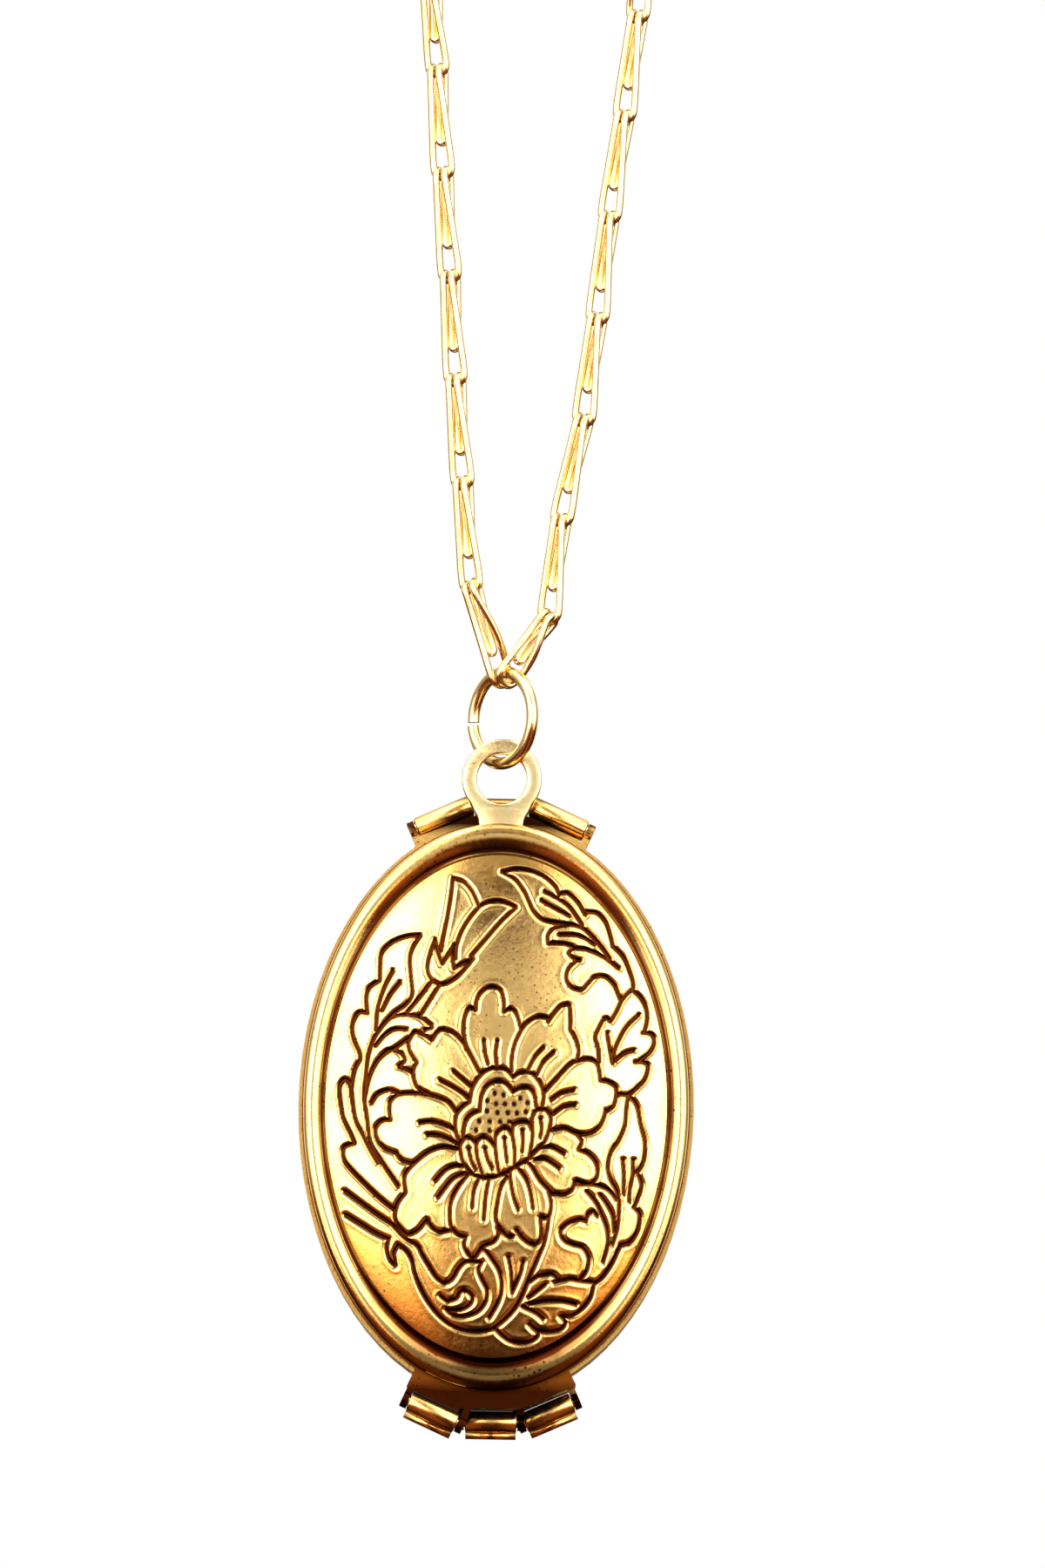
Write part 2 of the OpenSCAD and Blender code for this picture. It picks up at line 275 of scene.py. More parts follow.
FLOWER = [
    [(-1.1, 2.1), (-1.7, 3.2), (-2.1, 4), (-2.3, 5), (-2.2, 6), (-1.9, 6.5), (-1.5, 6.4)],
    [(-1.5, 6.4), (-1.4, 7.2), (-0.9, 7.8), (-0.3, 7.95), (0.2, 7.7), (0.4, 7), (0.4, 6.3)],
    [(0.4, 6.3), (0.9, 6.5), (1.3, 6.1), (1.6, 5.1)],
    [(1.6, 5.1), (1.2, 4.2), (1, 3.2), (1, 2.3)],
    [(1.6, 5.1), (2, 5.6), (2.7, 6), (3.4, 5.9)],
    [(3.4, 5.7), (3.8, 6.3), (4.3, 6.8), (4.8, 6.8), (4.9, 6), (4.9, 5.2)],
    [(4.9, 5.2), (5.3, 4.5), (5.5, 3.8), (5.4, 3.2)],
    [(3.2, 0.9), (4, 1.8), (4.8, 2.7), (5.4, 3.1), (6.1, 3.2), (6.7, 3), (6.9, 2.5), (7, 1.8)],
    [(7, 1.8), (7.5, 1.7), (8, 1.4), (8.1, 0.9), (7.9, 0.1), (7.4, -0.3)],
    [(7.4, -0.2), (7.2, -0.9), (6.8, -1.5), (6.2, -1.8), (5.4, -1.8), (4.6, -1.5), (3.8, -1.6)],
    [(5.4, -1.8), (5.8, -2.3), (5.6, -2.9)],
    [(5.6, -2.9), (6.3, -3.2), (6.8, -3.8), (6.9, -4.6), (6.4, -5.2), (5.4, -5)],
    [(5.4, -5), (5.2, -5.6), (4.7, -5.9), (4, -5.9), (3.7, -5.7), (3, -5), (2.5, -4.2),
     (2.1, -3.7)],
    [(0.8, -4.8), (0.4, -5.6), (0.2, -6.6), (0.1, -7.6), (0.4, -8.3), (0.9, -8.8), (1.3, -8.8)],
    [(1.5, -8.4), (1.9, -8.9), (2.5, -9.3), (3, -9.2), (3.2, -8.6), (3.1, -7.5)],
    [(3.1, -7.5), (3.6, -7.5), (3.8, -7), (3.8, -6.4), (3.6, -5.7)],
    [(-1.8, -4.7), (-2.4, -5.5), (-2.9, -6.5), (-3, -7.4), (-2.9, -8.2), (-2.5, -8.7),
     (-1.9, -8.9)],
    [(-1.9, -8.9), (-2, -9.5), (-1.7, -10.1), (-1.3, -10.3), (-0.9, -9.8), (-0.7, -9.5),
     (0, -9.2), (0.3, -8.7), (0.2, -8.2)],
    [(-2.4, -3), (-3.4, -2.9), (-4.4, -3.2), (-5.2, -3.8), (-5.8, -4.4), (-6.1, -5), (-6, -6)],
    [(-6, -6), (-6.5, -6.7), (-6.7, -7.6), (-6.4, -8.3), (-5.8, -8.8), (-5.1, -8.5), (-4.6, -7.9)],
    [(-4.5, -7.8), (-4.2, -8.3), (-3.6, -8.6), (-3, -8.5)],
    [(-2.7, -0.5), (-3.3, 0.2), (-4.4, 0.6), (-5.5, 0.7), (-6.6, 0.6), (-7.1, 0.2), (-7.2, -0.4),
     (-7.1, -1.1)],
    [(-7.1, -1.1), (-7.7, -1.2), (-8.1, -1.7), (-8, -2.4), (-7.5, -3), (-6.7, -3.3)],
    [(-6.7, -3.3), (-6.3, -3.8), (-5.6, -4)],
    [(-6, 4.2), (-5.6, 4.8), (-5, 4.7), (-4.4, 4.3)],
    [(-4.4, 4.3), (-4, 4.9), (-3.4, 5), (-2.8, 4.7), (-2.2, 4.1), (-2.1, 3.8)],
    [(-6, 4.2), (-5.9, 3.6), (-5.4, 2.8)],
    [(-5.4, 2.8), (-5.6, 2.4), (-5.6, 1.8), (-5.3, 1.1), (-4.6, 0.7)],
]
FLOWER_VEINS = [
    [(-0.9, 4.3), (-0.8, 3.5), (-0.6, 2.8)],
    [(0, 4.3), (-0.1, 3.5), (0, 2.7)],
    [(3.1, 3.9), (2.5, 3.2), (2.1, 2.4)],
    [(3.8, 3.6), (3.1, 2.9), (2.7, 2.1)],
    [(5.2, 1.1), (4.4, 0.9), (3.7, 0.4)],
    [(5.3, 0.1), (4.6, 0), (3.9, -0.5)],
    [(4.6, -3.2), (3.8, -2.8), (3.1, -2.8), (2.5, -3.2)],
    [(4.3, -4.2), (3.9, -3.9), (3.3, -3.6), (2.6, -3.6)],
    [(1, -4.5), (1.1, -5.3), (1.3, -6.2), (1.6, -7)],
    [(1.6, -4.3), (2.1, -5), (2.4, -5.8), (2.6, -6.9)],
    [(-1.1, -5), (-1.4, -5.8), (-1.5, -6.9)],
    [(-0.4, -5), (-0.6, -6.2), (-0.7, -7.7)],
    [(-4, -5.2), (-3.4, -4.5), (-2.8, -4.2), (-2.1, -4.1)],
    [(-3.8, -6.3), (-3.3, -5.6), (-2.8, -5), (-2, -4.6)],
    [(-5.1, -1.3), (-4.2, -1.2), (-3.4, -1.4), (-2.8, -1.7)],
    [(-4.6, -2.1), (-3.8, -2.1), (-3, -2.4), (-2.5, -2.7)],
    [(-2.9, 2.2), (-2.3, 1.7), (-1.7, 1.2)],
    [(-3.8, 1.6), (-3, 1.2), (-2.2, 0.7), (-1.8, 0.3)],
]
FLOWER_HEART = [
    [(-1.8, 0.2), (-1.6, 1.2), (-1, 2.1), (-0.2, 2.5), (0.6, 2.4), (1.1, 1.9)],
    [(1.1, 1.9), (1.6, 2.2), (2.3, 2.2), (2.9, 1.6), (3.2, 0.8), (3.1, 0)],
    [(-1.8, 0.2), (-2.3, -0.2), (-2.7, -0.8), (-2.7, -1.8), (-2.4, -2.6)],
    [(-1.1, -0.3), (-1, 0.6), (-0.6, 1.3), (0.1, 1.6), (0.7, 1.4), (1.1, 0.9)],
    [(1.1, 0.9), (1.7, 1.2), (2.3, 1.1), (2.6, 0.6), (2.7, 0)],
    [(-1.1, -0.4), (-1.7, -0.7), (-2.1, -1.3), (-2.2, -2.2)],
    [(-2.4, -2.8), (-2.2, -2.4), (-1.9, -2.2), (-1.5, -2.4), (-1.3, -2.7)],
    [(-1.3, -2.7), (-1.1, -2.3), (-0.7, -2.2), (-0.3, -2.5), (0, -2.9)],
    [(0, -2.8), (0, -2.1), (0.4, -1.6), (0.8, -1.6), (1.1, -2)],
    [(1.1, -1.9), (1.2, -1.3), (1.7, -1.1), (2.2, -1.2), (2.4, -1.6)],
    [(2.4, -1), (2.6, -0.4), (3, -0.2), (3.4, -0.3), (3.7, -0.8), (3.6, -1.6), (3.3, -2.4),
     (2.8, -3), (2.1, -3.7)],
    [(-2.4, -2.8), (-2.2, -3.8), (-1.7, -4.5), (-1.2, -4.8), (-0.3, -4.9), (0.6, -4.6),
     (1.4, -4.1), (2.1, -3.7)],
    [(-1.3, -2.7), (-1.2, -3.6), (-0.8, -4.8)],
    [(0, -2.8), (0.1, -3.7), (0.3, -4.7)],
    [(1.1, -1.9), (1.3, -3), (1.3, -4.1)],
    [(2.4, -1.1), (2.5, -2), (2.3, -3.4)],
    [(-1.8, -3), (-1.6, -3.8), (-1.3, -4.4)],
    [(-0.7, -3), (-0.5, -3.7), (-0.2, -4.3)],
    [(0.6, -2.3), (0.7, -3.1), (0.8, -3.8)],
    [(1.8, -1.7), (1.85, -2.4), (1.8, -3.1)],
    [(3, -0.9), (3.1, -1.5), (3, -2.1)],
]
RIGHT_LEAVES = [
    [(0.1, 15.8), (1, 16), (2, 15.9), (3, 15.5), (3.8, 14.8), (4, 14.3)],
    [(4, 14.4), (4.6, 14.4), (5.3, 13.8), (5.8, 13)],
    [(5.9, 13.2), (6.6, 13.1), (7.2, 12.5), (7.5, 11.7), (7.7, 10.9)],
    [(7.7, 10.9), (8.4, 10.2), (8.8, 9.4), (9.1, 8.5), (9.1, 8)],
    [(0.1, 15.8), (1, 15.3), (1.6, 14.6), (2, 13.8), (2.3, 13.2), (2.9, 12.6), (3.8, 12.4),
     (4.8, 12.3), (5.6, 12.1), (6.3, 11.5), (7, 10.7), (7.5, 10)],
    [(3, 14.5), (4, 14), (4.8, 13.4), (5.6, 12.3)],
    [(2.8, 13.9), (3.7, 13.4), (4.7, 12.9)],
    [(4.7, 12.3), (3.8, 12.1), (3.3, 11.6), (3.3, 11)],
    [(3.3, 11), (4.2, 11), (5, 10.8)],
    [(5, 10.7), (6, 10.6), (7, 10.2), (7.6, 9.8), (8.1, 9.4)],
    [(4, 11.6), (5, 11.6), (5.8, 11.4), (6.4, 11)],
    [(5, 10.7), (4.7, 10.4), (5.1, 10), (5.5, 9.9)],
    [(5.3, 9.9), (4.7, 9.3), (4.6, 8.6), (5, 8), (5.6, 7.9), (6, 8.3), (6.5, 8.8), (7.2, 8.8),
     (7.8, 8.3), (8.1, 7.7), (8.3, 7.2)],
    [(8.3, 7.2), (8.6, 7.6), (9, 8)],
    [(9, 8), (9.6, 7.5), (10, 6.8), (10.1, 6), (9.9, 5.1)],
    [(9.8, 5.1), (10.4, 5), (10.6, 4.5), (10.3, 3.8), (9.6, 3.2)],
    [(9.3, 3.1), (9.9, 3.1), (10.2, 2.8), (10, 2), (9.5, 1.4), (8.9, 0.9), (8.2, 0.9)],
    [(8.3, 7.2), (8, 6.5), (7.6, 5.8)],
    [(7.6, 5.8), (7.2, 6), (6.8, 5.3), (6.6, 4.7), (6.8, 4), (6.9, 3.1)],
    [(9.5, 6.3), (8.7, 5.5), (8.2, 4.6), (7.9, 3.8), (7.8, 3)],
    [(7.4, 5), (7.6, 4), (7.8, 3)],
    [(9.2, 3.9), (8.6, 3.7), (8, 3.2)],
    [(8.9, 0.9), (9.5, 0.1), (9.8, -1.2), (10.1, -2.4), (10, -3.6), (9.6, -4.3)],
    [(9.6, -4.4), (9.9, -5.2), (9.7, -6), (9.4, -6.7)],
    [(9.4, -6.7), (9.8, -7.2), (9.7, -8.2), (9.2, -9), (8.6, -9.2)],
    [(8.6, -9.2), (8.4, -9.6), (8, -10.5), (7.4, -11.4), (6.9, -11.8)],
    [(8.9, 0.9), (8.8, 0), (8.7, -1.2), (8.3, -2.2), (7.8, -3), (7.6, -4), (7.8, -4.9),
     (8.2, -5.6), (8.4, -6.4), (8.4, -7.2), (8.3, -8.2), (8, -9.2)],
    [(8.6, -3.5), (8.7, -4.5), (8.7, -5.8)],
    [(9.3, -3.5), (9.3, -4.5), (9.1, -5.5), (9.1, -6.3)],
    [(6.2, -5.7), (6.8, -6.4), (7.2, -7.2), (7.6, -8.2), (7.7, -9.2), (7.4, -10.4)],
    [(7.1, -5.9), (7.6, -6.6), (8, -7.4), (8.1, -8.4)],
    [(5.6, -5.2), (6.3, -5.2), (7, -5.3), (7.7, -5.6), (8.2, -6.2)],
    [(6.9, -7.3), (6.6, -7), (6.3, -7.3), (6.2, -7.7)],
    [(6.2, -7.7), (5.6, -7.6), (4.9, -7.9), (4.5, -8.4), (4.7, -9), (5.3, -9.3), (6, -9.5),
     (6.4, -10.2), (6.3, -11), (5.9, -11.6)],
]
LOWER_LEAVES = [
    [(-6.4, -9.5), (-5.9, -9.9), (-5.5, -10.6), (-5.3, -11.4), (-4.9, -12.4), (-4.3, -13.4),
     (-3.5, -14.3), (-2.6, -14.9), (-1.4, -15.2), (-0.2, -15.1), (0.6, -14.6), (1.4, -13.8),
     (1.9, -13), (2.3, -12), (2.7, -11), (3.1, -10), (3.4, -9.2), (3.6, -8.2), (3.7, -7.4)],
    [(-6.8, -8.2), (-6, -9), (-5.2, -9.5), (-4.8, -10.2), (-4.3, -11), (-3.8, -11.7), (-3.2, -12),
     (-2.7, -11.7), (-2.3, -11), (-1.9, -10.6), (-1.4, -10.5), (-0.8, -10.6)],
    [(-0.8, -10.6), (-1, -11.1), (-0.8, -11.7), (-0.4, -12.5), (-0.5, -13.3), (-1, -13.9),
     (-1.8, -14.2), (-2.7, -14.1), (-3.1, -13.8)],
    [(-3.1, -13.8), (-2.2, -13.8), (-1.5, -13.4), (-1.4, -12.9), (-1.8, -12.5), (-2.2, -12.6),
     (-2.4, -13), (-3, -13.2), (-3.5, -12.9)],
    [(-0.7, -9.6), (-0.1, -10.4), (0.4, -11.2), (0.6, -12.2), (0.4, -13.2), (-0.2, -14.3)],
    [(1, -10.2), (1.2, -11.2), (1.3, -12.6)],
    [(2, -10.5), (1.8, -11.4), (1.3, -12.6)],
    [(2.5, -11.8), (3.1, -11.4), (3.9, -11.3), (4.3, -11.6)],
    [(4.1, -11.8), (5, -11.6), (5.8, -11.7), (6.9, -11.8)],
    [(6.8, -11.9), (6.6, -12.8), (6.1, -13.5), (5.4, -14), (4.6, -14.1)],
    [(4.6, -14.1), (4.9, -14.5), (4.7, -14.9), (4, -15.1), (3.2, -15.1), (2.5, -14.7)],
    [(2.7, -14.9), (3.1, -15.3), (2.8, -15.7), (2, -15.9), (1.2, -15.8), (0.6, -15.4), (0.2, -15)],
    [(3.5, -12), (2.9, -12.5), (2.4, -12.9)],
    [(5.6, -13.3), (4.6, -13.1), (3.4, -13.1), (2.4, -13.3)],
    [(3.4, -14.3), (2.9, -13.9), (2, -13.5)],
]
STAMENS = [(-0.1, 0.8), (0.5, 0.7), (1.6, 0.5), (-0.6, 0.3), (0, 0.1), (0.6, 0.1), (1.2, 0.1),
 (2.1, 0.2), (-0.6, -0.4), (0.1, -0.5), (0.8, -0.5), (1.4, -0.5), (2, -0.4), (-1.1, -1.1),
 (-0.4, -1.1), (0.3, -1.1), (0.9, -1.1), (-1.3, -1.7), (-0.4, -1.7)]
LINE_WIDTH, LINE_DEPTH = 0.17, 0.13
DOT_WIDTH, DOT_DEPTH = 0.19, 0.025
# The metal that a line pushes aside stands up beside it in a low bank.
BANK_PLACE, BANK_WIDTH, BANK_HEIGHT = 0.34, 0.16, 0.012
# Polishing takes the patina off down to the first share of a cut's depth, and leaves all of it from
# a second share further down.
PATINA_START, PATINA_REACH = 0.18, 0.35


def smooth_line(points, step=0.14):
    """Points close together on a smooth curve through the drawing's points."""
    p = np.array([points[0], *points, points[-1]], float)
    out = [p[1]]
    for a, b, c, d in zip(p, p[1:], p[2:], p[3:]):
        square, cube = 2 * a - 5 * b + 4 * c - d, 3 * b - a - 3 * c + d
        count = max(1, int(np.ceil(np.linalg.norm(c - b) / step)))
        for t in np.arange(1, count + 1) / count:
            out.append(0.5 * (2 * b + (c - a) * t + square * t**2 + cube * t**3))
    return np.array(out)


def distance_to_lines(points, lines):
    """The distance from each point to the nearest of the lines, in mm, up to 1 mm."""
    near = np.full(len(points), 1.0)
    for line in lines:
        curve = smooth_line(line)
        low, high = curve.min(0) - 0.7, curve.max(0) + 0.7
        chosen = np.where(((points > low) & (points < high)).all(1))[0]
        spot = points[chosen]
        best = near[chosen]
        for a, b in zip(curve, curve[1:]):
            along = np.clip((spot - a) @ (b - a) / max((b - a) @ (b - a), 1e-9), 0, 1)
            best = np.minimum(best, np.linalg.norm(spot - a - along[:, None] * (b - a), axis=1))
        near[chosen] = best
    return near


def engraved_field(name, lines, dots):
    """The domed field of the front cover as a fine grid, pressed in along the drawing's lines."""
    shape = bmesh.new()
    bmesh.ops.create_grid(shape, x_segments=FIELD_GRID[0], y_segments=FIELD_GRID[1], size=1)
    square = np.array([v.co[:2] for v in shape.verts])
    disc = square * np.sqrt(1 - square[:, ::-1] ** 2 / 2)
    share = np.linalg.norm(disc, axis=1) * FIELD
    flat = disc * FIELD * [COVER_A, COVER_B] / MM
    near = distance_to_lines(flat, lines)
    cut = np.exp(-((near / LINE_WIDTH) ** 2))
    bank = np.exp(-(((near - BANK_PLACE) / BANK_WIDTH) ** 2))
    holes = np.zeros(len(flat))
    for dot in dots:
        holes = np.maximum(holes, np.exp(-((np.linalg.norm(flat - dot, axis=1) / DOT_WIDTH) ** 2)))
    rise = dome_rise(share) - (LINE_DEPTH * cut + DOT_DEPTH * holes - BANK_HEIGHT * bank) * MM
    patina_and_shade = shape.verts.layers.float.new("patina_and_shade")
    shade = np.clip((np.maximum(cut, holes) - PATINA_START) / PATINA_REACH, 0, 1)
    for v, (x, z), h, dark in zip(shape.verts, flat * MM, rise, shade):
        v.co = (x, COVER_Y - h, MIDDLE.z + z)
        v[patina_and_shade] = dark
    return piece(name, shape)


# Burnished plate: a bright warm gold that mirrors the studio, with deep brown lines.
antique = gold("antiqued_gold_plate", "#EBC47C", "#3A1604", (0.1, 0.22), patina_and_shade="patina_and_shade")

DRAWING = BELL_FLOWER + LEFT_LEAVES + FLOWER + FLOWER_VEINS + FLOWER_HEART + RIGHT_LEAVES + LOWER_LEAVES
field = engraved_field("engraved_field", DRAWING, STAMENS)
finish_piece(field, antique, "front_leaf")
rim = cover_ring("front_cover_rim", COVER_A, COVER_B, COVER_Y, -1, low_shade=LOW_SHADE)
finish_piece(rim, antique, "front_leaf", ["front_cover"])

rear_low, rear_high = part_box("back_cover")
rear_a, rear_b = (rear_high.x - rear_low.x) / 2, (rear_high.z - rear_low.z) / 2
plain_dome = [(share, float(dome_rise(np.array(share))) / MM, 0) for share in DOME_RINGS]
rear = cover_ring("back_cover_shell", rear_a, rear_b, rear_low.y, 1, plain_dome)
finish_piece(rear, antique, "back_leaf", ["back_cover"])

# The chain -------------------------------------------------------------------------------------
# Each link is a long loop of drawn wire folded in two over the bow of the link above, so that its
# narrow end comes to lie between its own front legs. The lowest link of each strand holds the ring.
WIRE = 0.25
PLAY = 0.26
BOW, FIRST_BOW = 0.66, 0.8
FOLD, LAST_FOLD = 0.51, 0.68
FIRST_DROP = 0.57
WAIST = 0.31
TIP, TIP_DEPTH, TIP_SHARE = 0.24, 0.16, 0.3
LINK_TURN = -24
LEFT_JOINTS = [(-0.1, 0), (-2.3, 5.8), (-3, 12.8), (-3.6, 19.8), (-4.1, 26.8), (-4.7, 33.8), (-5.2, 40.8),
               (-5.8, 47.8)]
RIGHT_JOINTS = [(0.1, 0), (3, 3.8), (3.7, 10.4), (5.1, 17.2), (5.9, 24.1), (6.6, 31), (7.5, 37.9),
                (8.3, 44.7), (8.9, 51)]
# Bright wire straight from the drawing die: paler than the plate, and brown only in faint specks.
wire_gold = gold("bright_drawn_gold_wire", "#F4DCA6", "#C98F3A", (0.14, 0.26), grain=0.2, grain_height=0.006)


def closed_line(points, line):
    """Adds points, in mm, as one closed line of a curve."""
    spline = line.splines.new("POLY")
    spline.points.add(len(points) - 1)
    for point, place in zip(spline.points, points):
        point.co = (*(Vector(place) * MM), 1)
    spline.use_cyclic_u = True


def folded_side(length, bow, fold):
    """Half a folded link's wire, from its bow to its tip: across, up and deep."""
    top = length + PLAY
    stop = TIP_SHARE * length
    side = []
    for i in range(9):
        t = math.radians(90 * i / 8)
        side.append((bow * math.sin(t) ** 0.8, bow * (1 - math.cos(t)) - PLAY, 0))
    for i in range(1, 15):
        s = i / 14
        narrowed = min(1, max(0, s * 1.15 - 0.12))
        u = bow - PLAY + s * (top - fold - bow + PLAY)
        side.append((bow + (WAIST - bow) * narrowed, u, -fold * s))
    for i in range(1, 12):
        t = math.radians(180 * i / 12)
        side.append((WAIST, top - fold + fold * math.sin(t), -fold * math.cos(t)))
    for i in range(0, 13):
        s = i / 12
        u = top - fold - s * (top - fold - stop - TIP)
        side.append((WAIST + (TIP - WAIST) * s, u, fold + (TIP_DEPTH - fold) * s))
    for i in range(1, 7):
        t = math.radians(90 * i / 6)
        side.append((TIP * math.cos(t), stop + TIP - TIP * math.sin(t), TIP_DEPTH))
    return side


def folded_link(low, high, low_turn, high_turn, bow, fold, off):
    """The middle of the wire of one folded link: up its right side and back down its left side."""
    foot, head = Vector((low[0], 0, low[1])), Vector((high[0], 0, high[1]))
    up = (head - foot).normalized()
    length = (head - foot).length
    side = folded_side(length, bow, fold)
    loop = side + [(-w, u, v) for w, u, v in reversed(side[1:-1])]
    wire = []
    for w, u, v in loop:
        share = min(1, max(0, u / length))
        ease = share * share * (3 - 2 * share)
        turn = math.radians(low_turn + (high_turn - low_turn) * ease)
        across = Vector((math.cos(turn), math.sin(turn), 0))
        across = (across - up * across.dot(up)).normalized()
        deep = up.cross(across).normalized()
        deep = deep if deep.y > 0 or abs(deep.y) < 0.1 else -deep
        wire.append(foot + up * u + across * w + deep * v + Vector((0, off * (1 - ease), 0)))
    return wire


def strand(name, joints, foot_turn, tag_turn, off, cad):
    """One strand of folded links, from the jump ring up to its end tag."""
    line = bpy.data.curves.new(name, "CURVE")
    line.dimensions = "3D"
    line.bevel_depth = WIRE * MM
    line.bevel_resolution = 4
    for i, (low, high) in enumerate(zip(joints, joints[1:])):
        first, last = i == 0, i == len(joints) - 2
        start = (low[0], low[1] - FIRST_DROP) if first else low
        turns = (foot_turn if first else LINK_TURN, tag_turn if last else LINK_TURN)
        bow, fold = FIRST_BOW if first else BOW, LAST_FOLD if last else FOLD
        closed_line(folded_link(start, high, *turns, bow, fold, off if first else 0), line)
    made = bpy.data.objects.new(name, line)
    bpy.context.scene.collection.objects.link(made)
    finish_piece(made, wire_gold, "chain", [cad])


strand("left_strand", LEFT_JOINTS, 40, -30, 0.35, "chain_left")
strand("right_strand", RIGHT_JOINTS, 35, 60, -0.45, "chain_right")

# The jump ring ---------------------------------------------------------------------------------
# Round wire coiled and sawn through once, then closed by hand, so its ends meet a little askew. It
# is the same bright wire as the chain's, but thicker.
ring_low, ring_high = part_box("jump_ring")
ring_middle = (ring_low + ring_high) / 2
RING_RADIUS = 3.08
RING_WIRE = 0.42
RING_TURN = math.radians(-50)
RING_STEPS = 120
SAW_CUT, COILED = 188, 355
ASKEW, ASKEW_STEPS = 0.09, 16

hoop = bpy.data.curves.new("split_ring", "CURVE")
hoop.dimensions = "3D"
hoop.bevel_depth = RING_WIRE * MM
hoop.bevel_resolution = 7
hoop.use_fill_caps = True
coil = hoop.splines.new("POLY")
coil.points.add(RING_STEPS)
for i, point in enumerate(coil.points):
    t = math.radians(SAW_CUT + COILED * i / RING_STEPS)
    across = (RING_RADIUS + ASKEW * max(0, 1 - i / ASKEW_STEPS)) * math.cos(t)
    height = ring_middle.z + RING_RADIUS * math.sin(t) * MM
    point.co = (across * math.cos(RING_TURN) * MM, across * math.sin(RING_TURN) * MM, height, 1)
split_ring = bpy.data.objects.new("split_ring", hoop)
bpy.context.scene.collection.objects.link(split_ring)
finish_piece(split_ring, wire_gold, "jump_ring", ["jump_ring"])

# The bail --------------------------------------------------------------------------------------
# A flat eye blanked with its neck from brass sheet, tumbled so that every edge is rounded over, and
# plated as bright as the wire. It hangs on the jump ring and carries the front leaf.
EYE_OUT, EYE_IN = 2.7, 1.68
NECK, NECK_TOP, NECK_FOOT = 1.5, -3.1, -3.72
# The hollow curve from the eye into the neck, on the right-hand side.
FILLET = [(1.54, -2.8), (1.66, -2.5), (1.86, -2.2)]
EDGE_ROUND, HALF_FLAT = 0.16, 0.14
eye_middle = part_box("bail")[1].z - EYE_OUT * MM


def arc(radius, angles):
    """Points round the middle of the eye."""
    return [(radius * math.cos(math.radians(a)), radius * math.sin(math.radians(a))) for a in angles]


outside = arc(EYE_OUT, range(-40, 221, 4)) + [(-x, z) for x, z in reversed(FILLET)]
outside += [(-NECK, NECK_TOP), (-NECK, NECK_FOOT), (NECK, NECK_FOOT), (NECK, NECK_TOP)] + FILLET
flat = bpy.data.curves.new("bail_outline", "CURVE")
flat.dimensions = "2D"
flat.fill_mode = "BOTH"
flat.bevel_depth = EDGE_ROUND * MM
flat.bevel_resolution = 3
flat.extrude = HALF_FLAT * MM
flat.offset = -EDGE_ROUND * MM
for outline in (outside, arc(EYE_IN, range(0, 360, 5))):
    closed_line([(x, z, 0) for x, z in outline], flat)
drawn = bpy.data.objects.new("bail_outline", flat)
bpy.context.scene.collection.objects.link(drawn)
bpy.context.view_layer.update()
bail_mesh = bpy.data.meshes.new_from_object(drawn)
bpy.data.objects.remove(drawn)
bail_mesh.transform(Matrix.Translation((0, 0, eye_middle)) @ Matrix.Rotation(math.pi / 2, 4, "X"))
shape = bmesh.new()
shape.from_mesh(bail_mesh)
finish_piece(piece("bail_eye", shape), wire_gold, "front_leaf", ["bail"])

# The hinge links -------------------------------------------------------------------------------
# Each link is a strip of plated sheet rolled at both edges round two pins, with its ends filed
# round. The lower links keep a folded bead along their outer side.
# Each has its x and z from the middle of the cover, the turn of its axis, and its length.
HINGES = [(-3.9, -20.6, 204, 3.5), (3.9, 19.7, 24, 4), (0, -21.1, 180, 3.5), (-3.9, 19.9, -24, 4),
          (3.9, -20.3, 156, 3.5)]
PITCH = 1.5
ROLL_OUT, ROLL_IN = 0.68, 0.37
ROLL_STEPS = 40
# A rolled tube's section: the share of its length from the middle, and the radius.
ROLL = [(-0.5, ROLL_IN), (-0.5, ROLL_OUT - 0.09), (-0.487, ROLL_OUT - 0.03), (-0.47, ROLL_OUT),
        (0.47, ROLL_OUT), (0.487, ROLL_OUT - 0.03), (0.5, ROLL_OUT - 0.09), (0.5, ROLL_IN)]
WEB_UP, WEB_THICK, WEB_SHORT, WEB_EDGE = 0.53, 0.26, 0.12, 0.06
BEAD, BEAD_ACROSS, BEAD_UP, BEAD_SHORT = 0.3, 1.42, 0.86, 0.1
# Rolled plate: less burnished than the covers, with a lighter brown in its specks.
link_gold = gold("rolled_gold_plate", "#EBC377", "#6A3A12", (0.16, 0.28))


